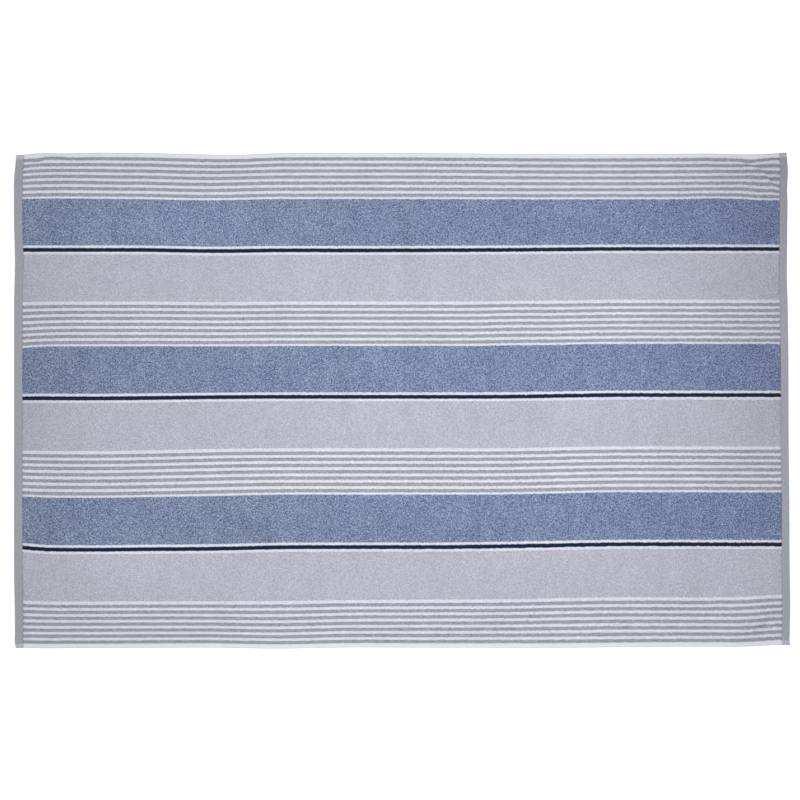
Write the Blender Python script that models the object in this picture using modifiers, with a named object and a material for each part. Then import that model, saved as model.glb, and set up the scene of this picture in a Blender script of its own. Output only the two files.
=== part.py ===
"""A bath sheet: one length of striped terry cloth, lying open and face up on a flat surface.

Metres, +Z up. X runs along the cloth from hem to hem and Y across it from selvage to
selvage. The origin is in the middle of the outline, on the surface that the cloth lies on.

The cloth is one solid. Its looped pile is thickest; the two woven selvages and the two turned
hems are thinner, and a sewn channel parts each hem from the pile. Its outline wavers where
the cloth was pulled, and soft creases from being folded away lift it off the surface.
"""
import math
from collections import namedtuple

import bmesh
import bpy

NAME = "bath_sheet"

# Driving sizes of the flat cloth.
LENGTH = 1.400
WIDTH = 0.895

# Thickness of each kind of cloth, and how far in from the edge each kind reaches.
PILE_THICKNESS = 0.0034
HEM_THICKNESS = 0.0026
CHANNEL_THICKNESS = 0.0016
SELVAGE_THICKNESS = 0.0020
EDGE_THICKNESS = 0.0012
HEM_WIDTH = 0.0140
CHANNEL_WIDTH = 0.0020
SELVAGE_WIDTH = 0.0075
PILE_RISE = 0.0020

# The folded or woven edge is round: this far in, it reaches the surface and its full thickness.
EDGE_ROUND = 0.0014
EDGE_LIFT = 0.0006

# Spacing of the sections through the open field.
SPACING_X = 0.027
SPACING_Y = 0.0235
CREASE_STEPS = (-1.0, -0.62, -0.28, 0.0, 0.28, 0.62, 1.0)

# Where the cloth was pulled out of line: the middle of the pull, how far its effect reaches
# along and across the cloth, and how far the cloth moved.
Pull = namedtuple("Pull", "at_x at_y reach_x reach_y move_x move_y")
PULLS = (
    Pull(0.42, 0.10, 0.28, 0.32, 0.0, 0.0038),
    Pull(0.70, 0.10, 0.28, 0.32, 0.0, 0.0038),
    Pull(0.42, -0.26, 0.28, 0.32, 0.0006, 0.0052),
    Pull(0.70, -0.26, 0.28, 0.32, 0.0026, 0.0048),
    Pull(-0.57, -0.18, 0.34, 0.35, 0.0, -0.0056),
    Pull(-0.70, -0.27, 0.07, 0.16, 0.0, 0.0030),
    Pull(-0.70, 0.09, 0.06, 0.13, 0.0, -0.0022),
    Pull(-0.35, 0.41, 0.14, 0.26, 0.0, -0.0025),
    Pull(0.34, 0.46, 0.40, 0.16, 0.0, -0.0023),
    Pull(-0.60, 0.42, 0.11, 0.12, 0.0, 0.0014),
    Pull(-0.70, 0.45, 0.06, 0.06, 0.0036, -0.0036),
    Pull(-0.70, 0.25, 0.10, 0.09, 0.0016, 0.0),
    Pull(-0.70, -0.41, 0.12, 0.12, 0.0016, -0.0012),
    Pull(0.70, 0.28, 0.20, 0.18, -0.0016, 0.0),
    Pull(0.70, 0.39, 0.07, 0.08, 0.0, -0.0036),
    Pull(0.70, 0.46, 0.05, 0.05, -0.0034, 0.0016),
    Pull(0.70, -0.40, 0.10, 0.14, 0.0018, 0.0052),
    Pull(-0.22, -0.43, 0.15, 0.14, 0.0, -0.0026),
)

# Soft ridges left by folding: where each crosses the middle of the cloth, how much it leans
# from square, its width from foot to foot, its height, and the stretch of it that shows.
Crease = namedtuple("Crease", "at_x lean width height from_y to_y")
CREASES = (
    Crease(-0.352, 0.020, 0.056, 0.0017, -0.47, 0.47),
    Crease(0.004, -0.012, 0.066, 0.0024, -0.47, 0.47),
    Crease(0.346, 0.016, 0.060, 0.0019, -0.47, 0.47),
)

# Places where the cloth stands a little off the surface, clear of the creases.
Puff = namedtuple("Puff", "at_x at_y reach_x reach_y height")
PUFFS = (
    Puff(-0.63, 0.37, 0.10, 0.12, 0.0016),
    Puff(-0.60, -0.13, 0.12, 0.17, 0.0013),
    Puff(-0.17, 0.21, 0.12, 0.15, 0.0010),
    Puff(-0.19, -0.30, 0.13, 0.12, 0.0012),
    Puff(0.18, -0.07, 0.13, 0.16, 0.0011),
    Puff(0.51, 0.08, 0.12, 0.20, 0.0010),
    Puff(0.645, 0.385, 0.07, 0.09, 0.0026),
    Puff(0.640, -0.385, 0.09, 0.09, 0.0021),
)

CLOTH_COLOUR = (0.330, 0.370, 0.480, 1.0)
CLOTH_ROUGHNESS = 0.95


def clear_scene():
    """Remove whatever objects the file opened with."""
    for old in list(bpy.data.objects):
        bpy.data.objects.remove(old, do_unlink=True)


def bell(distance, reach):
    """A smooth hump: 1 in its middle, 0 from reach outwards."""
    share = min(abs(distance) / reach, 1.0)
    return 0.5 + 0.5 * math.cos(math.pi * share)


def blend(low, high, share):
    """Ease from low to high as share goes from 0 to 1."""
    share = min(max(share, 0.0), 1.0)
    return low + (high - low) * share * share * (3.0 - 2.0 * share)


def border_stations(full, inner_steps):
    """Half a side's sections near its edge, as distances from the middle, edge first."""
    return [full / 2 - step for step in (0.0, EDGE_ROUND) + inner_steps]


def even_stations(limit, spacing):
    """Evenly spaced sections from -limit to limit, both ends left out."""
    count = round(2 * limit / spacing)
    return [-limit + 2 * limit * k / count for k in range(1, count)]


def stations_x():
    """Every section along the cloth: the hems, the creases and the field between them."""
    hem = border_stations(LENGTH, (HEM_WIDTH - CHANNEL_WIDTH, HEM_WIDTH - CHANNEL_WIDTH / 2,
                                   HEM_WIDTH + PILE_RISE))
    creased = [c.at_x + step * c.width / 2 for c in CREASES for step in CREASE_STEPS]
    clear = [x for x in even_stations(hem[-1], SPACING_X)
             if all(abs(x - c.at_x) > c.width / 2 + SPACING_X / 3 for c in CREASES)]
    return sorted([-x for x in hem] + hem + creased + clear)


def stations_y():
    """Every section across the cloth: the selvages and the field between them."""
    selvage = border_stations(WIDTH, (SELVAGE_WIDTH, SELVAGE_WIDTH + PILE_RISE))
    return sorted([-y for y in selvage] + selvage + even_stations(selvage[-1], SPACING_Y))


def thickness(x, y):
    """Thickness of the cloth at a place on the flat cut."""
    from_hem = LENGTH / 2 - abs(x)
    from_selvage = WIDTH / 2 - abs(y)
    pile = blend(SELVAGE_THICKNESS, PILE_THICKNESS, (from_selvage - SELVAGE_WIDTH) / PILE_RISE)
    past_channel = from_hem - (HEM_WIDTH - CHANNEL_WIDTH / 2)
    if past_channel > 0:
        full = blend(CHANNEL_THICKNESS, pile, past_channel / (PILE_RISE + CHANNEL_WIDTH / 2))
    else:
        full = blend(CHANNEL_THICKNESS, HEM_THICKNESS, -past_channel * 2 / CHANNEL_WIDTH)
    return blend(EDGE_THICKNESS, full, min(from_hem, from_selvage) / EDGE_ROUND)


def lift(x, y):
    """Height of the underside above the surface at a place on the flat cut."""
    from_edge = min(LENGTH / 2 - abs(x), WIDTH / 2 - abs(y))
    height = blend(EDGE_LIFT, 0.0, from_edge / EDGE_ROUND)
    for c in CREASES:
        middle = (c.from_y + c.to_y) / 2
        along = bell(y - middle, (c.to_y - c.from_y) / 2)
        height += c.height * math.sqrt(along) * bell(x - c.at_x - c.lean * y, c.width / 2)
    for p in PUFFS:
        height += p.height * bell(x - p.at_x, p.reach_x) * bell(y - p.at_y, p.reach_y)
    return height


def pulled(x, y):
    """Where a place on the flat cut lies once the cloth was pulled out of line."""
    moved_x = x
    moved_y = y
    for p in PULLS:
        share = bell(x - p.at_x, p.reach_x) * bell(y - p.at_y, p.reach_y)
        moved_x += p.move_x * share
        moved_y += p.move_y * share
    return moved_x, moved_y


def cloth_grid(columns, rows):
    """The underside as a grid mesh, with each point's share of the full thickness."""
    bm = bmesh.new()
    bmesh.ops.create_grid(bm, x_segments=len(columns) - 1, y_segments=len(rows) - 1, size=0.5)
    shares = bm.verts.layers.deform.verify()
    for vert in bm.verts:
        x = columns[round((vert.co.x + 0.5) * (len(columns) - 1))]
        y = rows[round((vert.co.y + 0.5) * (len(rows) - 1))]
        vert.co = (*pulled(x, y), lift(x, y))
        vert[shares][0] = thickness(x, y) / PILE_THICKNESS
    centre_outline(bm)
    mesh = bpy.data.meshes.new(NAME)
    bm.to_mesh(mesh)
    bm.free()
    return mesh


def centre_outline(bm):
    """Move the grid so that the origin is in the middle of its outline."""
    along = [vert.co.x for vert in bm.verts]
    across = [vert.co.y for vert in bm.verts]
    centre = (-(min(along) + max(along)) / 2, -(min(across) + max(across)) / 2, 0.0)
    bmesh.ops.translate(bm, vec=centre, verts=bm.verts)


def cloth_material():
    """Matt cotton of the stripes' average colour."""
    material = bpy.data.materials.new("terry_cotton")
    material.use_nodes = True
    shader = material.node_tree.nodes["Principled BSDF"]
    shader.inputs["Base Color"].default_value = CLOTH_COLOUR
    shader.inputs["Roughness"].default_value = CLOTH_ROUGHNESS
    shader.inputs["Metallic"].default_value = 0.0
    return material


def add_thickness(cloth):
    """Grow the cloth upwards from its underside, by each point's share of the pile's height."""
    solid = cloth.modifiers.new("thickness", "SOLIDIFY")
    solid.thickness = PILE_THICKNESS
    solid.offset = 1.0
    solid.vertex_group = "thickness"
    solid.use_quality_normals = True


def build():
    """Make the bath sheet in a collection of its own."""
    clear_scene()
    collection = bpy.data.collections.new(NAME)
    bpy.context.scene.collection.children.link(collection)
    cloth = bpy.data.objects.new(NAME, cloth_grid(stations_x(), stations_y()))
    cloth.vertex_groups.new(name="thickness")
    collection.objects.link(cloth)
    cloth.data.materials.append(cloth_material())
    cloth.data.shade_smooth()
    add_thickness(cloth)


build()
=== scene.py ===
"""The looks of a striped terry bath sheet, lying open and face up on a pale studio floor.

Metres, +Z up. X runs along the cloth from hem to hem, Y across it from selvage to selvage.
Every point of the cloth is first given on the flat cut, as x and y, and then laid: pulled a
little out of line, lifted by soft creases, and given the height of its pile or its weave.
"""
import math
from collections import namedtuple

import bpy
import numpy as np
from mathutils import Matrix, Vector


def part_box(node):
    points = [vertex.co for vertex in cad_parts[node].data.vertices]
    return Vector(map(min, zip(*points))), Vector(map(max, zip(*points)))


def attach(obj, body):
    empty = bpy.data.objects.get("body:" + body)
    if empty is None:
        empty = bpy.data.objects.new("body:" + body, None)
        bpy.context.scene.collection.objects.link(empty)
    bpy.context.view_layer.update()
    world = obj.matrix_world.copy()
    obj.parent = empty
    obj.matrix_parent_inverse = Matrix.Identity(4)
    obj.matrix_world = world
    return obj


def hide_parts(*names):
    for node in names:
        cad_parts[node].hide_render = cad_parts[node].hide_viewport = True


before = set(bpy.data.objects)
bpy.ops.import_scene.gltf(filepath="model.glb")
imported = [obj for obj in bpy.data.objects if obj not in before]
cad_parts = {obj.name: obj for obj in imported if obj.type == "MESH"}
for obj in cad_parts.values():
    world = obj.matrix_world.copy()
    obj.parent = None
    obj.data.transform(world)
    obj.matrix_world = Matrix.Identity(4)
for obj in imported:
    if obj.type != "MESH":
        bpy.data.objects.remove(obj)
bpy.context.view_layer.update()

CLOTH_LOW, CLOTH_HIGH = (np.array(corner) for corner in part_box("bath_sheet"))
BODY = "root"

# The flat cut, as in the solid.
LENGTH = 1.400
WIDTH = 0.895
PILE_THICKNESS = 0.0034
HEM_THICKNESS = 0.0026
CHANNEL_THICKNESS = 0.0016
SELVAGE_THICKNESS = 0.0020
EDGE_THICKNESS = 0.0012
LEFT_HEM_WIDTH = 0.0152
RIGHT_HEM_WIDTH = 0.0138
CHANNEL_WIDTH = 0.0020
CHANNEL_LIFT = 0.0004
SELVAGE_WIDTH = 0.0075
PILE_RISE = 0.0020
EDGE_ROUND = 0.0014
EDGE_LIFT = 0.0006

# Where the cloth was pulled out of line: the middle of the pull, how far its effect reaches
# along and across the cloth, and how far the cloth moved.
Pull = namedtuple("Pull", "at_x at_y reach_x reach_y move_x move_y")
PULLS = (
    Pull(0.42, 0.10, 0.28, 0.32, 0.0, 0.0038),
    Pull(0.70, 0.10, 0.28, 0.32, 0.0, 0.0038),
    Pull(0.42, -0.26, 0.28, 0.32, 0.0006, 0.0052),
    Pull(0.70, -0.26, 0.28, 0.32, 0.0026, 0.0048),
    Pull(-0.57, -0.18, 0.34, 0.35, 0.0, -0.0056),
    Pull(-0.70, -0.27, 0.07, 0.16, 0.0, 0.0030),
    Pull(-0.70, 0.09, 0.06, 0.13, 0.0, -0.0022),
    Pull(-0.35, 0.41, 0.14, 0.26, 0.0, -0.0025),
    Pull(0.34, 0.46, 0.40, 0.16, 0.0, -0.0023),
    Pull(-0.60, 0.42, 0.11, 0.12, 0.0, 0.0014),
    Pull(-0.70, 0.45, 0.06, 0.06, 0.0036, -0.0036),
    Pull(-0.70, 0.25, 0.10, 0.09, 0.0016, 0.0),
    Pull(-0.70, -0.41, 0.12, 0.12, 0.0016, -0.0012),
    Pull(0.70, 0.28, 0.20, 0.18, -0.0016, 0.0),
    Pull(0.70, 0.39, 0.07, 0.08, 0.0, -0.0036),
    Pull(0.70, 0.46, 0.05, 0.05, -0.0034, 0.0016),
    Pull(0.70, -0.40, 0.10, 0.14, 0.0018, 0.0052),
    Pull(-0.22, -0.43, 0.15, 0.14, 0.0, -0.0026),
)
# More pulls, which the solid doesn't have: the weave's drift across the cloth, the gathers that
# the hem sewing makes in the top corners, and the hems' own ends at the four corners.
MORE_PULLS = (
    Pull(0.00, -0.02, 4.00, 0.42, 0.0, 0.0042),
    Pull(0.632, 0.436, 0.028, 0.011, 0.0, -0.0016),
    Pull(0.675, 0.433, 0.032, 0.012, 0.0, 0.0018),
    Pull(0.648, 0.374, 0.036, 0.040, 0.0, -0.0022),
    Pull(0.692, 0.388, 0.024, 0.030, 0.0, -0.0018),
    Pull(0.70, 0.386, 0.08, 0.035, -0.0013, 0.0),
    Pull(-0.625, 0.437, 0.040, 0.013, 0.0, 0.0018),
    Pull(-0.660, 0.435, 0.018, 0.011, 0.0, -0.0018),
    Pull(-0.61, 0.45, 0.08, 0.05, 0.0, -0.0022),
    Pull(0.63, 0.45, 0.09, 0.05, 0.0, -0.0023),
    Pull(-0.29, 0.45, 0.10, 0.05, 0.0, -0.0018),
    Pull(0.33, -0.45, 0.20, 0.05, 0.0, -0.0013),
    Pull(-0.25, -0.45, 0.35, 0.05, 0.0, 0.0009),
    Pull(-0.68, -0.45, 0.04, 0.04, 0.0, 0.0011),
    Pull(0.70, 0.03, 0.10, 0.14, 0.0008, 0.0),
    Pull(0.70, 0.22, 0.08, 0.07, -0.0009, 0.0),
    Pull(-0.70, -0.4475, 0.030, 0.010, 0.0020, 0.0),
    Pull(0.70, -0.4475, 0.030, 0.010, 0.0016, -0.0008),
    Pull(0.05, -0.105, 4.00, 0.11, 0.0, 0.0021),
    Pull(0.30, -0.360, 0.60, 0.09, 0.0, 0.0014),
    Pull(-0.33, 0.19, 0.14, 0.20, 0.0, -0.0011),
    Pull(-0.33, -0.28, 0.16, 0.22, 0.0, -0.0019),
    Pull(-0.69, 0.41, 0.03, 0.06, 0.0, -0.0016),
    Pull(-0.69, 0.13, 0.10, 0.08, 0.0, -0.0016),
    Pull(-0.70, -0.39, 0.10, 0.07, 0.0, 0.0015),
    Pull(-0.10, 0.27, 0.40, 0.08, 0.0, -0.0010),
    Pull(0.20, 0.14, 0.09, 0.12, 0.0, 0.0012),
    Pull(0.20, -0.264, 0.16, 0.07, 0.0, 0.0011),
    Pull(0.56, 0.36, 0.08, 0.05, 0.0, 0.0012),
    Pull(0.65, -0.36, 0.13, 0.06, 0.0, 0.0019),
)

# Short creases that the hem sewing gathers in the right-hand corners: where each runs from and
# to, how far it reaches to either side, and how far the cloth slides in towards it. The gain
# makes up for a bell times a sine, which peaks at about two thirds.
Tuck = namedtuple("Tuck", "from_x from_y to_x to_y reach slide")
TUCKS = (
    Tuck(0.604, 0.4375, 0.664, 0.4145, 0.013, 0.0014),
    Tuck(0.642, 0.4265, 0.688, 0.3805, 0.013, 0.0017),
    Tuck(0.618, -0.437, 0.656, -0.402, 0.008, 0.0013),
    Tuck(0.654, -0.430, 0.684, -0.402, 0.008, 0.0013),
)
TUCK_GAIN = 1.5

# Soft ridges left by folding: where each crosses the middle of the cloth, how much it leans
# from square, its width from foot to foot, its height, and the stretch of it that shows.
Crease = namedtuple("Crease", "at_x lean width height from_y to_y")
CREASES = (
    Crease(-0.352, 0.020, 0.056, 0.0017, -0.47, 0.47),
    Crease(0.004, -0.012, 0.066, 0.0024, -0.47, 0.47),
    Crease(0.346, 0.016, 0.060, 0.0019, -0.47, 0.47),
)

# Places where the cloth stands a little off the floor, clear of the creases.
Puff = namedtuple("Puff", "at_x at_y reach_x reach_y height")
PUFFS = (
    Puff(-0.63, 0.37, 0.10, 0.12, 0.0016),
    Puff(-0.60, -0.13, 0.12, 0.17, 0.0013),
    Puff(-0.17, 0.21, 0.12, 0.15, 0.0010),
    Puff(-0.19, -0.30, 0.13, 0.12, 0.0012),
    Puff(0.18, -0.07, 0.13, 0.16, 0.0011),
    Puff(0.51, 0.08, 0.12, 0.20, 0.0010),
    Puff(0.645, 0.385, 0.07, 0.09, 0.0026),
    Puff(0.640, -0.385, 0.09, 0.09, 0.0021),
)

# Where the cloth looks paler or darker: the middle of the mark, its reach, how much it leans from
# square, and how much paler it is. Much of it is painted shade: the broad dark marks at both ends
# and over the right-hand corners stand for light that falls off there, and the narrow dark marks
# along the creases and the tucks are painted shade in those folds. The other broad marks are partly
# painted light and shade and partly the pile's own paler and darker patches, and the small ones
# make the pile paler or darker in patches and streaks. The marks stand for pile that was stroked or
# parted, but that is a guess. They were set by comparing renders with the photo, and the broad ones
# may be no more than its uneven light. A dark mark is also a dip, and a pale one a rise, by
# MARK_HEIGHT for each unit of shade.
Mark = namedtuple("Mark", "at_x at_y reach_x reach_y lean shade")
MARKS = (
    # Painted shade: both ends of the cloth darker, where the light falls off.
    Mark(-0.70, 0.00, 0.18, 0.45, 0.00, -0.095),
    Mark(0.70, 0.08, 0.18, 0.50, 0.00, -0.125),
    Mark(0.36, 0.02, 0.20, 0.70, 0.00, 0.055),
    Mark(-0.42, 0.324, 0.34, 0.08, 0.00, 0.125),
    Mark(-0.34, -0.03, 0.30, 0.12, 0.00, -0.030),
    Mark(-0.51, -0.28, 0.16, 0.13, 0.00, 0.060),
    Mark(-0.06, -0.23, 0.32, 0.09, 0.00, -0.045),
    Mark(0.62, -0.33, 0.10, 0.07, 0.00, 0.035),
    Mark(-0.17, 0.27, 0.05, 0.14, 0.00, 0.040),
    Mark(-0.30, -0.28, 0.05, 0.12, 0.00, -0.025),
    # Painted shade: thin dark lines along the three creases.
    Mark(0.343, 0.40, 0.004, 0.07, -0.08, -0.060),
    Mark(0.366, -0.36, 0.005, 0.09, 0.11, -0.060),
    Mark(-0.353, 0.02, 0.004, 0.18, 0.00, -0.040),
    Mark(0.009, 0.28, 0.018, 0.09, -0.12, -0.105),
    Mark(-0.267, -0.236, 0.032, 0.050, -0.93, -0.170),
    Mark(-0.232, 0.045, 0.012, 0.06, 0.00, -0.085),
    Mark(-0.100, 0.015, 0.018, 0.08, 0.00, -0.080),
    Mark(0.140, -0.237, 0.018, 0.05, 0.00, -0.095),
    Mark(0.165, 0.355, 0.025, 0.07, 0.00, 0.050),
    Mark(-0.030, 0.078, 0.070, 0.04, 0.00, 0.075),
    Mark(0.67, 0.322, 0.11, 0.055, 0.00, -0.130),
    Mark(0.47, -0.216, 0.40, 0.055, 0.00, -0.050),
    Mark(0.15, 0.220, 0.50, 0.055, 0.00, 0.025),
    # Painted shade in the folds of the tucks at the right-hand corners, and over those corners.
    Mark(0.661, 0.416, 0.013, 0.028, -1.40, -0.110),
    Mark(0.652, -0.410, 0.013, 0.038, 0.90, -0.090),
    Mark(0.70, 0.408, 0.26, 0.075, 0.00, -0.130),
    Mark(0.70, -0.405, 0.13, 0.075, 0.00, -0.065),
    Mark(0.34, 0.343, 0.13, 0.034, 0.00, 0.150),
    Mark(-0.66, 0.137, 0.10, 0.050, 0.00, 0.040),
    Mark(-0.66, -0.132, 0.10, 0.050, 0.00, 0.050),
    Mark(-0.155, -0.333, 0.035, 0.035, 0.00, -0.065),
    Mark(-0.055, -0.178, 0.060, 0.022, 0.00, 0.085),
)
MARK_HEIGHT = 0.006

# Fineness of the meshes and of the measure of the outline, how often a long piece's picture map
# is folded to fill its square, and the margin round each band of that map.
FACE_STEP = 0.0020
FACE_STRIPS = 4
FACE_FOLDS = 3
REVERSE_STEP = 0.0050
HEM_STEP = 0.0030
HEM_FOLDS = 4
OUTLINE_STEP = 0.0050
MAP_MARGIN = 0.004

# The looped pile's relief: each loop's own height, and the wider clumps that loops lean into.
SEED = 7
LOOP_RELIEF = 0.00016
CLUMPS = ((0.006, 0.00012), (0.014, 0.00010), (0.050, 0.00018))
REVERSE_RELIEF = 0.35

# The turned hems: how far in from a selvage the ends close, how much of a layer's height its
# weave fills, and the number of steps along each stretch of the turn.
HEM_TIP = 0.0004
HEM_FULL = 0.94
HEM_TOP_STEPS = 22
HEM_END_STEPS = 9
HEM_FLOOR_STEPS = 14
HEM_FOLD_STEPS = 5
HEM_INSIDE_STEPS = 8

# Puckers that the hem sewing draws into the pile: their spacing, height, reach inwards and slant.
PUCKER_SPACING = 0.019
PUCKER_HEIGHT = 0.0005
PUCKER_REACH = 0.035
PUCKER_SLANT = 0.08

# Slow waves along a hem that shift the puckers, in spacings, and that vary their strength: the
# size of each, how many radians it turns in a metre, and how far apart it is on the two hems.
Wave = namedtuple("Wave", "size turn apart")
PUCKER_SHIFTS = (Wave(0.35, 11.0, 4.0), Wave(0.20, 37.0, 0.0))
PUCKER_STRENGTH = 0.6
PUCKER_VARIES = Wave(0.4, 17.0, 2.0)

# Lockstitch along the middle of each sewn channel. Its thread narrows to a waist where it dives
# between stitches, and the power rounds each stitch.
STITCH = 0.0030
THREAD_RADIUS = 0.00024
THREAD_WAIST = 0.15
STITCH_POWER = 0.6
STITCH_STEPS = 6
THREAD_SIDES = 6

# The woven stripes, measured across the flat cloth from its +Y selvage.
REPEAT = 0.2690
REPEAT_FROM = 0.0040
LINES = 7
FIRST_LINE = 0.0110
LINE_PITCH = 0.01095
LINE_WIDTH = 0.0060
BLUE_FROM = 0.0836
BLUE_WIDTH = 0.0846
NAVY_FROM = 0.17285
NAVY_WIDTH = 0.0071
GREY_FROM = 0.1845
GREY_WIDTH = 0.0866
STRIPE_SOFTNESS = 0.0004

# Yarn colours, as light reflected, linear. Bands and lines are of two yarns twisted together.
WHITE_YARN = (0.823, 0.846, 0.940)
SELVAGE_YARN = (0.838, 0.850, 0.928)
LINE_DARK = (0.284, 0.294, 0.351)
LINE_PALE = (0.486, 0.500, 0.578)
NAVY_YARN = (0.000, 0.010, 0.045)
BLUE_DARK = (0.058, 0.100, 0.235)
BLUE_PALE = (0.465, 0.541, 0.722)
GREY_DARK = (0.419, 0.434, 0.536)
GREY_PALE = (0.666, 0.675, 0.772)
HEM_YARN = (0.345, 0.354, 0.398)
HEM_YARN_RIGHT = (0.345, 0.354, 0.414)
TIP_YARN = (0.480, 0.485, 0.550)
THREAD_YARN = (0.300, 0.310, 0.355)

# How far a band's mix of its two yarns swings from loop to loop, with the twist, and with the
# batch of yarn, and the power that keeps blue's pale loops few.
OWN_SHARE = 0.68
TWIST_SHARE = 0.96
TWIST_SIZE = 0.0023
BATCH_SHARE = 0.22
BATCH_SIZE = (0.028, 0.060)
BLUE_POWER = 1.3

# How the blue bands vary, from their warmest to their coolest. They vary every few millimetres,
# and cool from the left of the cloth to the right, in their dye or perhaps only in the light.
WARMER = (1.040, 1.030, 0.975)
COOLER = (0.940, 0.940, 1.030)
DYE_SIZE = 0.007
DYE_VARIES = 0.6
COOLING_FROM, COOLING_TO = -0.30, 0.75
COOL_LEFT, COOL_RIGHT = 0.05, 0.55

# The lowest group of lines has a faint blue-green cast, from this far down the cloth, in its yarn
# or perhaps only in the light.
LOWEST_CAST = (0.975, 0.992, 1.000)
LOWEST_FROM, LOWEST_TO = 0.790, 0.810

# The pile's loops, and how far each loop and a wider sway push the edge of a stripe aside. Both
# pushes grow from the left of the cloth to the right.
LOOP_LENGTH = 0.0014
LOOP_WIDTH = 0.0012
LOOP_UNEVENNESS = 0.85
LOOP_STRAY = 0.0013
SWAY_STRAY = 0.0016
SWAY_SIZE = (0.006, 0.020)
STRAY_GROWS_FROM, STRAY_GROWS_TO = -0.45, 0.55
STRAY_LEFT, STRAY_RIGHT = 0.6, 1.1

# How much the pile varies, as its darkest and palest: in clumps, in patches, from the gaps between
# the loops to their crowns, and from loop to loop. The darker gaps are painted shade between the
# loops. A crown and a gap are told by how far a place is from its loop's middle, in loops.
CLUMP_SIZE = 0.006
CLUMP_SHADES = (0.97, 1.03)
PATCH_SIZE = (0.050, 0.090)
PATCH_SHADES = (0.96, 1.04)
CROWN, GAP = 0.15, 0.75
PAINTED_GAP_SHADES = (0.88, 1.08)
LOOP_TO_LOOP_SHADES = (0.87, 1.13)

# The selvages' plain weave, and the hems' ribbed weave: spacing of the threads along and across,
# how high they stand for their bump, the coarse ribs where a hem crosses a selvage, the uneven
# thread, and the darkest and palest of each.
SELVAGE_THREADS = (0.0012, 0.0009)
SELVAGE_HEIGHT = 0.25
HEM_THREADS = (0.00125, 0.0011)
HEM_RIB_HEIGHT = 0.35
HEM_PICK_HEIGHT = 0.15
# Painted shade: the hem weave darker where it lies low between its ribs and picks.
HEM_PAINTED_SHADES = (0.88, 1.06)
COARSE_RIB = 0.0044
COARSE_SHADES = (0.91, 1.09)
SLUB_SIZE = (0.0022, 0.0060)
SLUB_SHADES = (0.80, 1.20)
TIP_SOFTNESS = 0.0003

# The right hem darkens towards its +Y end: painted shade, where the light falls off there.
# The right hem darkens towards its +Y end, in its yarn or perhaps only in the light.
DARKENS_FROM, DARKENS_TO = 0.12, 0.46
TOP_SHADE = 0.86

# The sewing thread's twist: its spacing, and its darkest and palest, which are painted shade between
# its strands.
THREAD_TWIST = 0.0006
THREAD_PAINTED_SHADES = (0.90, 1.10)

# How each material reflects: depth of its bump, roughness and sheen.
Finish = namedtuple("Finish", "depth roughness sheen")
TERRY_FINISH = Finish(0.0007, 0.95, 0.20)
HEM_FINISH = Finish(0.00012, 0.90, 0.15)
THREAD_FINISH = Finish(0.00008, 0.70, 0.10)
SHEEN_ROUGHNESS = 0.50
SPECULAR = 0.15

# The studio. The floor glows a little, so that it is white where the lamp lights it.
FLOOR_SIZE = 80.0
FLOOR_DROP = 0.0004
FLOOR_PAINT = (0.92, 0.92, 0.92)
FLOOR_ROUGHNESS = 0.9
FLOOR_GLOW = 0.30
LAMP_SIZE = 0.6
LAMP_PLACE = (0.0, -0.03, 1.45)
LAMP_POWER = 14.4
SURROUND_GLOW = 0.55
WHITE = (1.0, 1.0, 1.0)

# The camera, in metres but for its sensor's millimetres.
CAMERA_HEIGHT = 4.0
CAMERA_SHIFT = (-0.0038, 0.0012)
VIEW_WIDTH = 1.4465
SENSOR_WIDTH = 36.0


def bell(distance, reach):
    """A smooth hump: 1 in its middle, 0 from reach outwards."""
    return 0.5 + 0.5 * np.cos(np.pi * np.minimum(np.abs(distance) / reach, 1.0))


def blend(low, high, share):
    """Ease from low to high as share goes from 0 to 1."""
    share = np.clip(share, 0.0, 1.0)
    return low + (high - low) * share * share * (3.0 - 2.0 * share)


def pulled(x, y):
    """Where places on the flat cut lie once the cloth was pulled out of line."""
    moved_x = np.array(x, float)
    moved_y = np.array(y, float)
    for p in PULLS + MORE_PULLS:
        share = bell(x - p.at_x, p.reach_x) * bell(y - p.at_y, p.reach_y)
        moved_x += p.move_x * share
        moved_y += p.move_y * share
    for tuck in TUCKS:
        slid_x, slid_y = tucked(tuck, x, y)
        moved_x += slid_x
        moved_y += slid_y
    return moved_x, moved_y


def tucked(tuck, x, y):
    """How far the cloth slides into a tuck, along and across, at places on the flat cut."""
    run_x, run_y = tuck.to_x - tuck.from_x, tuck.to_y - tuck.from_y
    length = math.hypot(run_x, run_y)
    off_x, off_y = x - (tuck.from_x + tuck.to_x) / 2, y - (tuck.from_y + tuck.to_y) / 2
    along = (off_x * run_x + off_y * run_y) / length
    aside = (off_y * run_x - off_x * run_y) / length
    slide = tuck.slide * bell(along, length / 2) * bell(aside, tuck.reach)
    slide = TUCK_GAIN * slide * np.sin(np.pi * aside / tuck.reach)
    return slide * run_y / length, -slide * run_x / length


def lift(x, y):
    """Height of the underside above the floor."""
    from_edge = np.minimum(LENGTH / 2 - np.abs(x), WIDTH / 2 - np.abs(y))
    height = blend(EDGE_LIFT, 0.0, from_edge / EDGE_ROUND)
    for c in CREASES:
        middle = (c.from_y + c.to_y) / 2
        along = bell(y - middle, (c.to_y - c.from_y) / 2)
        height = height + c.height * np.sqrt(along) * bell(x - c.at_x - c.lean * y, c.width / 2)
    for p in PUFFS:
        height = height + p.height * bell(x - p.at_x, p.reach_x) * bell(y - p.at_y, p.reach_y)
    return height


def tone_and_painted_shade(x, y):
    """How much paler the pile is made at places on the flat cut, partly as painted light and shade.
    """
    total = 0.0
    for m in MARKS:
        along = bell(y - m.at_y, m.reach_y)
        total = total + m.shade * along * bell(x - m.at_x - m.lean * (y - m.at_y), m.reach_x)
    return total


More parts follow.
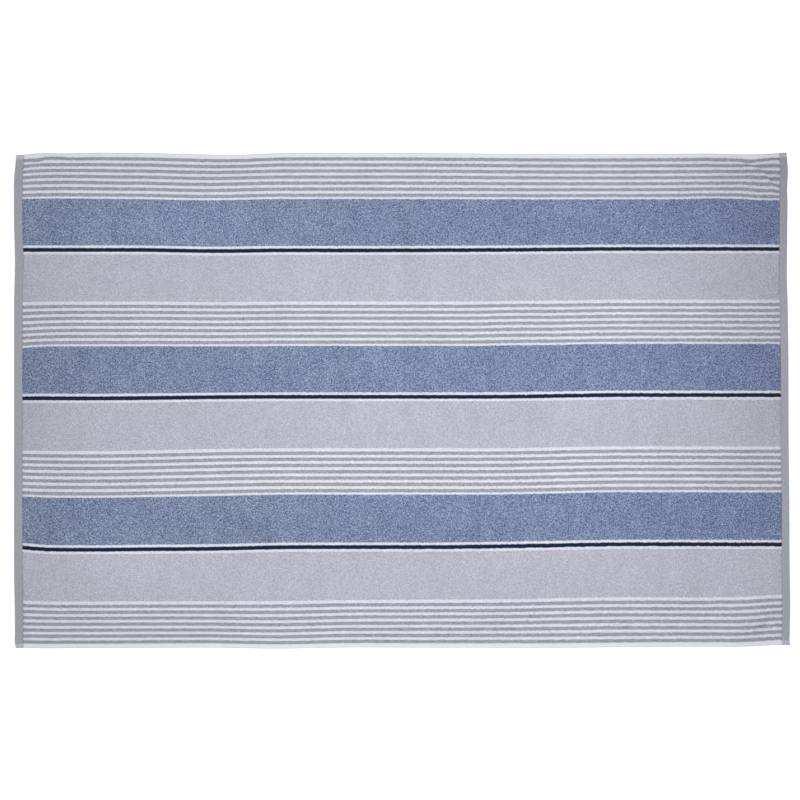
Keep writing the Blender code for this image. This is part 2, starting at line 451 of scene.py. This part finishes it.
def past_hem(x):
    """Distance inwards from the nearer hem's inner edge."""
    return np.minimum(x - LEFT_INNER, RIGHT_INNER - x)


def pile_share(x, y):
    """How far the pile has risen from the weave: 0 on hems and selvages, 1 in the field."""
    from_selvage = (WIDTH / 2 - np.abs(y) - SELVAGE_WIDTH) / PILE_RISE
    return blend(0.0, 1.0, past_hem(x) / PILE_RISE) * blend(0.0, 1.0, from_selvage)


def thickness(x, y):
    """Thickness of the terry panel, from its woven borders to its pile."""
    from_selvage = WIDTH / 2 - np.abs(y)
    woven = blend(CHANNEL_THICKNESS, SELVAGE_THICKNESS, past_hem(x) / PILE_RISE)
    full = woven + (PILE_THICKNESS - SELVAGE_THICKNESS) * pile_share(x, y)
    return blend(EDGE_THICKNESS, full, from_selvage / EDGE_ROUND)


def stations(low, high, step):
    """Evenly spaced places from low to high, both included."""
    return np.linspace(low, high, round((high - low) / step) + 1)


def outline_shift():
    """The move that puts the middle of the pulled outline over the middle of the solid."""
    along = stations(-LENGTH / 2, LENGTH / 2, OUTLINE_STEP)
    across = stations(-WIDTH / 2, WIDTH / 2, OUTLINE_STEP)
    ends_x, ends_y = np.meshgrid((-LENGTH / 2, LENGTH / 2), across)
    sides_x, sides_y = np.meshgrid(along, (-WIDTH / 2, WIDTH / 2))
    moved_x, _ = pulled(ends_x, ends_y)
    _, moved_y = pulled(sides_x, sides_y)
    middle = (CLOTH_LOW + CLOTH_HIGH) / 2
    return (middle[0] - (moved_x.min() + moved_x.max()) / 2,
            middle[1] - (moved_y.min() + moved_y.max()) / 2)


LEFT_INNER = -LENGTH / 2 + LEFT_HEM_WIDTH
RIGHT_INNER = LENGTH / 2 - RIGHT_HEM_WIDTH
SHIFT_X, SHIFT_Y = outline_shift()
FLOOR_Z = CLOTH_LOW[2]


def laid(x, y, height):
    """Points in space for places on the flat cut, at a height above the floor."""
    moved_x, moved_y = pulled(x, y)
    return np.stack([moved_x + SHIFT_X, moved_y + SHIFT_Y, FLOOR_Z + height], axis=-1)


def soft_noise(shape, step, size, seed):
    """Noise on a grid with features of about the given size and a spread of 1."""
    field = np.random.default_rng(seed).normal(size=shape)
    across = np.fft.fftfreq(shape[0], step)[:, None]
    along = np.fft.rfftfreq(shape[1], step)[None, :]
    wave = np.hypot(across, along) * size
    soft = np.fft.irfft2(np.fft.rfft2(field) * np.exp(-2.0 * wave * wave), shape)
    return soft / soft.std()


def relief(shape, step, seed):
    """Height of the loops and clumps over a grid."""
    loops = np.random.default_rng(seed).normal(size=shape) * LOOP_RELIEF
    for number, (size, height) in enumerate(CLUMPS, start=1):
        loops = loops + height * soft_noise(shape, step, size, seed + number)
    return loops


def grid_corners(rows, columns, upside_down):
    """Each face's four corners in a grid, as rows and as columns, going round the face."""
    row, column = np.meshgrid(np.arange(rows - 1), np.arange(columns - 1), indexing="ij")
    corner_rows = row[..., None] + (0, 0, 1, 1)
    corner_columns = column[..., None] + (0, 1, 1, 0)
    if upside_down:
        corner_rows, corner_columns = corner_rows[..., ::-1], corner_columns[..., ::-1]
    return corner_rows.reshape(-1, 4), corner_columns.reshape(-1, 4)


def folded_map(corner_rows, corner_columns, folds):
    """Places in a square picture for a grid's corners, its length folded into several bands."""
    last_row, last_column = corner_rows.max(), corner_columns.max()
    band = corner_columns.min(axis=1, keepdims=True) * folds // last_column
    start = -(-band * last_column // folds)
    length = -(-last_column // folds)
    across = (corner_columns - start) / length
    up = corner_rows / last_row
    across = MAP_MARGIN + (1 - 2 * MAP_MARGIN) * across
    up = (band + folds * MAP_MARGIN + (1 - 2 * folds * MAP_MARGIN) * up) / folds
    return np.stack([across, up], axis=-1)


def grid_object(name, points, cloth, material, folds=1, upside_down=False):
    """A mesh object from a grid of points, with the flat cut's places, tone and painted shade, and a
    picture map.
    """
    rows, columns = points.shape[:2]
    corner_rows, corner_columns = grid_corners(rows, columns, upside_down)
    corners = corner_rows * columns + corner_columns
    picture = folded_map(corner_rows, corner_columns, folds)
    mesh = bpy.data.meshes.new(name)
    mesh.vertices.add(rows * columns)
    mesh.vertices.foreach_set("co", points.reshape(-1).astype(np.float32))
    mesh.loops.add(corners.size)
    mesh.loops.foreach_set("vertex_index", corners.reshape(-1).astype(np.int32))
    mesh.polygons.add(len(corners))
    mesh.polygons.foreach_set("loop_start", np.arange(0, corners.size, 4, dtype=np.int32))
    mesh.update(calc_edges=True)
    mesh.shade_smooth()
    for layer, places in (("cloth", cloth.reshape(-1, 2)[corners]), ("OFBake", picture)):
        made_layer = mesh.uv_layers.new(name=layer)
        made_layer.data.foreach_set("uv", places.reshape(-1).astype(np.float32))
    shade = mesh.attributes.new("tone_and_painted_shade", "FLOAT", "POINT")
    shade.data.foreach_set("value", tone_and_painted_shade(cloth[..., 0], cloth[..., 1]).reshape(-1).astype(np.float32))
    mesh.materials.append(material)
    mesh.validate()
    made = bpy.data.objects.new(name, mesh)
    bpy.context.scene.collection.objects.link(made)
    return made


class Graph:
    """Short calls for laying out a material's nodes."""

    def __init__(self, name):
        self.material = bpy.data.materials.new(name)
        self.material.use_nodes = True
        self.tree = self.material.node_tree
        self.shader = self.tree.nodes["Principled BSDF"]

    def node(self, kind, **settings):
        made = self.tree.nodes.new(kind)
        for name, value in settings.items():
            setattr(made, name, value)
        return made

    def feed(self, socket, value):
        if isinstance(value, bpy.types.NodeSocket):
            self.tree.links.new(value, socket)
        elif hasattr(value, "__len__") and len(value) == 3 and socket.type == "RGBA":
            socket.default_value = (*value, 1.0)
        else:
            socket.default_value = value

    def math(self, operation, *values):
        made = self.node("ShaderNodeMath", operation=operation)
        for socket, value in zip(made.inputs, values):
            self.feed(socket, value)
        return made.outputs[0]

    def ramp(self, value, low, high, start=0.0, end=1.0):
        """Ease from start to end as value goes from low to high."""
        made = self.node("ShaderNodeMapRange", interpolation_type="SMOOTHSTEP")
        for socket, item in zip(made.inputs, (value, low, high, start, end)):
            self.feed(socket, item)
        return made.outputs[0]

    def between(self, value, low, high, soft):
        """1 where value lies from low to high, 0 elsewhere, with soft edges."""
        return self.math("MULTIPLY", self.ramp(value, low - soft, low + soft),
                         self.ramp(value, high - soft, high + soft, 1.0, 0.0))

    def mix(self, share, first, second, blend_type="MIX"):
        made = self.node("ShaderNodeMix", data_type="RGBA", blend_type=blend_type)
        self.feed(made.inputs["Factor"], share)
        self.feed(made.inputs[6], first)
        self.feed(made.inputs[7], second)
        return made.outputs[2]

    def swing(self, value, reach, base=0.0):
        """The base, and up to half the reach more or less as value goes from 0 to 1."""
        return self.math("ADD", self.math("MULTIPLY_ADD", value, reach, -reach / 2), base)

    def ribs(self, along, spacing):
        """Ribs from -1 to 1, spaced out along a direction."""
        return self.math("SINE", self.math("MULTIPLY", along, 2 * math.pi / spacing))

    def threads(self, x, y, spacings):
        """The ribs along the cloth and those across it."""
        return self.ribs(x, spacings[0]), self.ribs(y, spacings[1])

    def noise(self, place, size, detail=2.0):
        """Noise from 0 to 1 with features of the given size, one number or one each way."""
        if isinstance(size, tuple):
            place, size = self.stretched(place, *size), 1.0
        made = self.node("ShaderNodeTexNoise", noise_dimensions="2D")
        self.feed(made.inputs["Vector"], place)
        made.inputs["Scale"].default_value = 1.0 / size
        made.inputs["Detail"].default_value = detail
        return made.outputs["Fac"]

    def cloth_place(self):
        """The place on the flat cut, in metres, and its x and y."""
        place = self.node("ShaderNodeUVMap", uv_map="cloth").outputs[0]
        split = self.node("ShaderNodeSeparateXYZ")
        self.feed(split.inputs[0], place)
        return place, split.outputs[0], split.outputs[1]

    def stretched(self, place, size_x, size_y):
        """The place, in units of size_x along and size_y across."""
        made = self.node("ShaderNodeMapping")
        self.feed(made.inputs["Vector"], place)
        made.inputs["Scale"].default_value = (1.0 / size_x, 1.0 / size_y, 1.0)
        return made.outputs[0]

    def shaded(self, colour, value, low, high):
        """The colour times low where value is 0 and times high where it is 1."""
        grey = self.node("ShaderNodeMapRange")
        for socket, item in zip(grey.inputs, (value, 0.0, 1.0, low, high)):
            self.feed(socket, item)
        whole = self.node("ShaderNodeCombineColor")
        for socket in whole.inputs:
            self.feed(socket, grey.outputs[0])
        return self.tinted(colour, whole.outputs[0])

    def tinted(self, colour, tint):
        """The colour times a tint."""
        return self.mix(1.0, colour, tint, "MULTIPLY")

    def finish(self, colour, height, look):
        """Give the shader its colour and its bump, and the cloth's dull sheen."""
        bump = self.node("ShaderNodeBump")
        bump.inputs["Strength"].default_value = 1.0
        bump.inputs["Distance"].default_value = look.depth
        self.feed(bump.inputs["Height"], height)
        self.feed(self.shader.inputs["Base Color"], colour)
        self.feed(self.shader.inputs["Normal"], bump.outputs[0])
        self.shader.inputs["Roughness"].default_value = look.roughness
        self.shader.inputs["Sheen Weight"].default_value = look.sheen
        self.shader.inputs["Sheen Roughness"].default_value = SHEEN_ROUGHNESS
        self.shader.inputs["Specular IOR Level"].default_value = SPECULAR
        return self.material


def terry_material():
    """Looped pile in woven stripes, with smooth white selvages, and painted light and shade."""
    g = Graph("terry_cotton")
    place, x, y = g.cloth_place()
    loops = g.node("ShaderNodeTexVoronoi", voronoi_dimensions="2D")
    g.feed(loops.inputs["Vector"], g.stretched(place, LOOP_LENGTH, LOOP_WIDTH))
    loops.inputs["Scale"].default_value = 1.0
    loops.inputs["Randomness"].default_value = LOOP_UNEVENNESS
    chance = g.node("ShaderNodeSeparateColor")
    g.feed(chance.inputs[0], loops.outputs["Color"])
    # The third chance makes each loop paler or darker at random.
    own, leaning, loop_to_loop = chance.outputs[0], chance.outputs[1], chance.outputs[2]
    down = strayed(g, place, x, y, leaning)
    field = g.between(down, SELVAGE_WIDTH, WIDTH - SELVAGE_WIDTH, STRIPE_SOFTNESS)
    colour = g.mix(field, SELVAGE_YARN, stripes(g, place, x, down, own))
    colour = g.shaded(colour, g.noise(place, CLUMP_SIZE), *CLUMP_SHADES)
    colour = g.shaded(colour, g.noise(place, PATCH_SIZE, 1.0), *PATCH_SHADES)
    # Painted light and shade, with the pile's own paler and darker patches, from the marks.
    marked = g.node("ShaderNodeAttribute", attribute_name="tone_and_painted_shade").outputs["Fac"]
    colour = g.shaded(colour, g.math("ADD", marked, 0.5), 0.5, 1.5)
    # Painted shade: the gaps between the loops darker than their crowns.
    crowns = g.ramp(loops.outputs["Distance"], CROWN, GAP, 1.0, 0.0)
    looped = g.shaded(g.shaded(colour, crowns, *PAINTED_GAP_SHADES), loop_to_loop, *LOOP_TO_LOOP_SHADES)
    colour = g.mix(field, colour, looped)
    height = g.mix(field, selvage_weave(g, x, y), crowns)
    return g.finish(colour, height, TERRY_FINISH)


def strayed(g, place, x, y, leaning):
    """How far down from the +Y edge, moved a little where loops lean over a stripe's edge."""
    stray = g.swing(g.noise(place, SWAY_SIZE), SWAY_STRAY, g.swing(leaning, LOOP_STRAY))
    share = g.ramp(x, STRAY_GROWS_FROM, STRAY_GROWS_TO, STRAY_LEFT, STRAY_RIGHT)
    return g.math("MULTIPLY_ADD", stray, share, g.math("SUBTRACT", WIDTH / 2, y))


def stripes(g, place, x, down, own):
    """The woven stripes' colours: white ground, thin lines, navy line and heather bands."""
    in_repeat = g.math("MODULO", g.math("SUBTRACT", down, REPEAT_FROM), REPEAT)
    in_repeat = g.math("ADD", in_repeat, REPEAT_FROM)
    share = g.swing(own, OWN_SHARE, 0.5)
    share = g.swing(g.noise(place, TWIST_SIZE, 0.0), TWIST_SHARE, share)
    share = g.swing(g.noise(place, BATCH_SIZE), BATCH_SHARE, share)
    grey = g.mix(share, GREY_DARK, GREY_PALE)
    lined = g.mix(own, LINE_DARK, LINE_PALE)
    colour = g.mix(thin_lines(g, in_repeat), WHITE_YARN, lined)
    bands = ((BLUE_FROM, BLUE_WIDTH, blue_heather(g, place, x, share)),
             (NAVY_FROM, NAVY_WIDTH, NAVY_YARN),
             (GREY_FROM, GREY_WIDTH, grey))
    for start, width, yarn in bands:
        banded = g.between(in_repeat, start, start + width, STRIPE_SOFTNESS)
        colour = g.mix(banded, colour, yarn)
    lowest = g.ramp(down, LOWEST_FROM, LOWEST_TO)
    return g.mix(lowest, colour, g.tinted(colour, LOWEST_CAST))


def thin_lines(g, in_repeat):
    """1 on the thin lines of a repeat, 0 elsewhere."""
    start = FIRST_LINE - LINE_PITCH / 2
    in_pitch = g.math("MODULO", g.math("SUBTRACT", in_repeat, start), LINE_PITCH)
    line = g.between(in_pitch, (LINE_PITCH - LINE_WIDTH) / 2, (LINE_PITCH + LINE_WIDTH) / 2,
                     STRIPE_SOFTNESS)
    group = g.between(in_repeat, start, start + LINES * LINE_PITCH, STRIPE_SOFTNESS)
    return g.math("MULTIPLY", line, group)


def blue_heather(g, place, x, share):
    """Blue of the given share of pale yarn, warmer on the left and cooler on the right."""
    cooling = g.ramp(x, COOLING_FROM, COOLING_TO, COOL_LEFT, COOL_RIGHT)
    dyed = g.math("MULTIPLY_ADD", g.noise(place, DYE_SIZE, 1.0), DYE_VARIES, cooling)
    blue = g.mix(g.math("POWER", share, BLUE_POWER), BLUE_DARK, BLUE_PALE)
    return g.tinted(blue, g.mix(dyed, WARMER, COOLER))


def selvage_weave(g, x, y):
    """Fine ribs of a plain weave."""
    crossed = g.math("MULTIPLY", *g.threads(x, y, SELVAGE_THREADS))
    return g.math("MULTIPLY_ADD", crossed, SELVAGE_HEIGHT, 0.5)


def hem_material():
    """Flat grey weave ribbed along the end, paler where it crosses the selvage, with painted shade.
    """
    g = Graph("hem_weave")
    place, x, y = g.cloth_place()
    ribs, picks = g.threads(x, y, HEM_THREADS)
    crossed = g.math("MULTIPLY_ADD", g.math("MULTIPLY", ribs, picks), HEM_PICK_HEIGHT, 0.5)
    weave = g.math("MULTIPLY_ADD", ribs, HEM_RIB_HEIGHT, crossed)
    from_selvage = g.math("SUBTRACT", WIDTH / 2, g.math("ABSOLUTE", y))
    tip = g.ramp(from_selvage, SELVAGE_WIDTH - TIP_SOFTNESS, SELVAGE_WIDTH + TIP_SOFTNESS, 1.0, 0.0)
    right = g.math("GREATER_THAN", x, 0.0)
    colour = g.mix(tip, g.mix(right, HEM_YARN, HEM_YARN_RIGHT), TIP_YARN)
    # Painted shade: the right hem darker towards its +Y end.
    painted_top_shade = g.math("MULTIPLY", right, g.ramp(y, DARKENS_FROM, DARKENS_TO))
    colour = g.shaded(colour, painted_top_shade, 1.0, TOP_SHADE)
    colour = g.shaded(colour, g.noise(place, SLUB_SIZE), *SLUB_SHADES)
    coarse = g.math("MULTIPLY", tip, g.ribs(x, COARSE_RIB))
    colour = g.shaded(colour, g.math("MULTIPLY_ADD", coarse, 0.5, 0.5), *COARSE_SHADES)
    # Painted shade: darker where the weave lies low.
    colour = g.shaded(colour, weave, *HEM_PAINTED_SHADES)
    return g.finish(colour, weave, HEM_FINISH)


def thread_material():
    """Matt twisted sewing thread, with painted shade between its strands."""
    g = Graph("sewing_thread")
    _, x, y = g.cloth_place()
    twist = g.math("MULTIPLY_ADD", g.ribs(g.math("ADD", x, y), THREAD_TWIST), 0.5, 0.5)
    # Painted shade: darker where the twist lies low.
    colour = g.shaded(THREAD_YARN, twist, *THREAD_PAINTED_SHADES)
    return g.finish(colour, twist, THREAD_FINISH)


def puckers(x, y):
    """Height of the ripples that a hem's sewing gathers into the pile beside it."""
    fade = bell(past_hem(x), PUCKER_REACH)
    place = (y + PUCKER_SLANT * past_hem(x)) / PUCKER_SPACING
    place = place + sum(along_hem(wave, x, y) for wave in PUCKER_SHIFTS)
    strength = PUCKER_STRENGTH + along_hem(PUCKER_VARIES, x, y)
    return PUCKER_HEIGHT * fade * strength * np.sin(2 * np.pi * place)


def along_hem(wave, x, y):
    """A slow wave along the nearer hem."""
    return wave.size * np.sin(wave.turn * y + wave.apart * np.sign(x))


def face_strips(material):
    """The face that shows, as strips side by side that share one relief."""
    xs = stations(LEFT_INNER - CHANNEL_WIDTH, RIGHT_INNER + CHANNEL_WIDTH, FACE_STEP)
    ys = stations(-WIDTH / 2, WIDTH / 2, FACE_STEP)
    x, y = np.meshgrid(xs, ys)
    rise = relief(x.shape, FACE_STEP, SEED) + puckers(x, y) + MARK_HEIGHT * tone_and_painted_shade(x, y)
    rise = rise * pile_share(x, y)
    top = laid(x, y, lift(x, y) + thickness(x, y) + rise)
    rim = laid(x[[0, -1]], y[[0, -1]], lift(x[[0, -1]], y[[0, -1]]))
    top = np.concatenate([rim[:1], top, rim[1:]])
    cloth = np.stack([x, y], axis=-1)[[0, *range(len(ys)), -1]]
    cuts = np.linspace(0, len(top) - 1, FACE_STRIPS + 1).round().astype(int)
    return [grid_object(f"terry_face_{number}", top[first:last + 1], cloth[first:last + 1],
                        material, FACE_FOLDS)
            for number, (first, last) in enumerate(zip(cuts[:-1], cuts[1:]), start=1)]


def reverse(material):
    """The side that lies on the floor."""
    xs = stations(LEFT_INNER, RIGHT_INNER, REVERSE_STEP)
    ys = stations(-WIDTH / 2, WIDTH / 2, REVERSE_STEP)
    x, y = np.meshgrid(xs, ys)
    rise = relief(x.shape, REVERSE_STEP, SEED + 20) * REVERSE_RELIEF
    rise = np.maximum(rise + 2 * LOOP_RELIEF, 0.0) * pile_share(x, y)
    points = laid(x, y, lift(x, y) + rise)
    return grid_object("terry_reverse", points, np.stack([x, y], axis=-1), material,
                       upside_down=True)


def hem_path(width):
    """A turned hem's middle line: how far in from the cloth's end, and how many layers up.

    The weave runs out on top, round the end, back along the floor, and round again inside.
    """
    layer = HEM_THICKNESS / 3
    end, fold, inside = 1.5 * layer, width - 0.5 * layer, 2.2 * layer
    path = [(inward, 2.5) for inward in np.linspace(width, end, HEM_TOP_STEPS)]
    path += half_turn(end, 1.5, layer, 1.0, HEM_END_STEPS)
    path += [(inward, 0.5) for inward in np.linspace(end, fold, HEM_FLOOR_STEPS)]
    path += half_turn(fold, 1.0, -layer / 2, -0.5, HEM_FOLD_STEPS)
    path += [(inward, 1.5) for inward in np.linspace(fold, inside, HEM_INSIDE_STEPS)]
    return np.array(path)


def half_turn(inward, middle, reach, half, steps):
    """Points of a half turn of the weave, outwards from the top or back inwards from below."""
    angles = np.linspace(0.0, math.pi, steps + 2)[1:-1]
    return [(inward - reach * math.sin(a), middle + half * math.cos(a)) for a in angles]


def hem_outline(width, share):
    """Both faces of the turned weave, going once round its cut: distance inwards and layers up.

    The share is how much of the weave's own thickness parts its two faces.
    """
    layer = HEM_THICKNESS / 3
    path = hem_path(width)
    ahead = np.gradient(path, axis=0) * (1.0, layer)
    ahead /= np.linalg.norm(ahead, axis=1)[:, None]
    aside = 0.5 * share * np.stack([-ahead[:, 1] * layer, ahead[:, 0]], axis=-1)
    outline = np.concatenate([path - aside, (path + aside)[::-1]])
    return np.concatenate([outline, outline[:1]]).T


def hem_height(x, y, width, layers):
    """Height of a place so many layers up in the hem, which its sewing pinches and lifts."""
    pinch = bell(LENGTH / 2 - np.abs(x) - width + CHANNEL_WIDTH / 2, CHANNEL_WIDTH)
    thick = HEM_THICKNESS + (CHANNEL_THICKNESS - HEM_THICKNESS) * pinch
    inner = np.sign(x) * (LENGTH / 2 - width)
    inside = np.clip(y, -WIDTH / 2 + EDGE_ROUND, WIDTH / 2 - EDGE_ROUND)
    return lift(inner, inside) + CHANNEL_LIFT * pinch + thick * layers / 3


def hem(name, end, width, material):
    """One end's turned hem: a ribbon of flat weave folded in three, closed at the selvages."""
    inner = WIDTH / 2 - HEM_TIP
    ys = np.concatenate([[-WIDTH / 2], stations(-inner, inner, HEM_STEP), [WIDTH / 2]])
    shut, full = hem_outline(width, 0.0), hem_outline(width, HEM_FULL)
    inward, layers = np.stack([shut] + [full] * (len(ys) - 2) + [shut], axis=-1)
    x = end * (LENGTH / 2 - inward)
    y = np.broadcast_to(ys, x.shape)
    points = laid(x, y, hem_height(x, y, width, layers))
    return grid_object(name, points, np.stack([x, y], axis=-1), material, HEM_FOLDS,
                       upside_down=end < 0)


def seam(name, end, width, layers, material):
    """A row of lockstitch along the hem's inner edge, on its top or on its underside."""
    ys = stations(-WIDTH / 2 + STITCH / 2, WIDTH / 2 - STITCH / 2, STITCH / STITCH_STEPS)
    swell = np.abs(np.sin(np.pi * (ys - ys[0]) / STITCH)) ** STITCH_POWER
    angles = np.linspace(0.0, 2 * np.pi, THREAD_SIDES + 1)[:, None]
    place = end * (LENGTH / 2 - width + CHANNEL_WIDTH / 2)
    sunk = THREAD_RADIUS * (1.0 - swell) * (1.0 if layers > 0 else -1.0)
    middle = hem_height(np.full(ys.shape, place), ys, width, layers) - sunk
    radius = THREAD_RADIUS * (THREAD_WAIST + (1.0 - THREAD_WAIST) * swell)
    x = place + radius * np.cos(angles)
    y = np.broadcast_to(ys, x.shape)
    points = laid(x, y, middle + radius * np.sin(angles))
    return grid_object(name, points, np.stack([x, y], axis=-1), material, HEM_FOLDS)


def studio():
    """A pale floor, a soft light overhead and an even pale surround."""
    pale_floor()
    data = bpy.data.lights.new("overhead", "AREA")
    data.size = LAMP_SIZE
    data.energy = LAMP_POWER
    light = bpy.data.objects.new("overhead", data)
    light.location = LAMP_PLACE
    bpy.context.scene.collection.objects.link(light)
    world = bpy.data.worlds.new("studio")
    bpy.context.scene.world = world
    world.use_nodes = True
    surround = world.node_tree.nodes["Background"]
    surround.inputs["Color"].default_value = (*WHITE, 1.0)
    surround.inputs["Strength"].default_value = SURROUND_GLOW
    bpy.context.scene.view_settings.view_transform = "Standard"


def pale_floor():
    """A wide matt floor just under the cloth."""
    bpy.ops.mesh.primitive_plane_add(size=FLOOR_SIZE, location=(0.0, 0.0, FLOOR_Z - FLOOR_DROP))
    floor = bpy.context.object
    floor.name = "studio_floor"
    g = Graph("floor_paint")
    g.shader.inputs["Base Color"].default_value = (*FLOOR_PAINT, 1.0)
    g.shader.inputs["Roughness"].default_value = FLOOR_ROUGHNESS
    g.shader.inputs["Emission Color"].default_value = (*WHITE, 1.0)
    g.shader.inputs["Emission Strength"].default_value = FLOOR_GLOW
    floor.data.materials.append(g.material)
    return floor


def camera():
    """Straight above the middle of the cloth, with +X to the right."""
    data = bpy.data.cameras.new("above")
    data.sensor_width = SENSOR_WIDTH
    data.lens = SENSOR_WIDTH * (CAMERA_HEIGHT - PILE_THICKNESS) / VIEW_WIDTH
    made = bpy.data.objects.new("above", data)
    middle = (CLOTH_LOW + CLOTH_HIGH) / 2
    made.location = (middle[0] + CAMERA_SHIFT[0], middle[1] + CAMERA_SHIFT[1], CAMERA_HEIGHT)
    bpy.context.scene.collection.objects.link(made)
    bpy.context.scene.camera = made


camera()
studio()
terry = terry_material()
weave = hem_material()
thread = thread_material()
faces = face_strips(terry)
back = reverse(terry)
trims = []
for side, end, width in (("left", -1, LEFT_HEM_WIDTH), ("right", 1, RIGHT_HEM_WIDTH)):
    trims.append(hem(f"hem_{side}", end, width, weave))
    trims.append(seam(f"hem_sewing_{side}", end, width, 3.0, thread))
    trims.append(seam(f"hem_sewing_{side}_under", end, width, 0.0, thread))
for piece in faces + [back] + trims:
    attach(piece, BODY)
    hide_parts("bath_sheet")
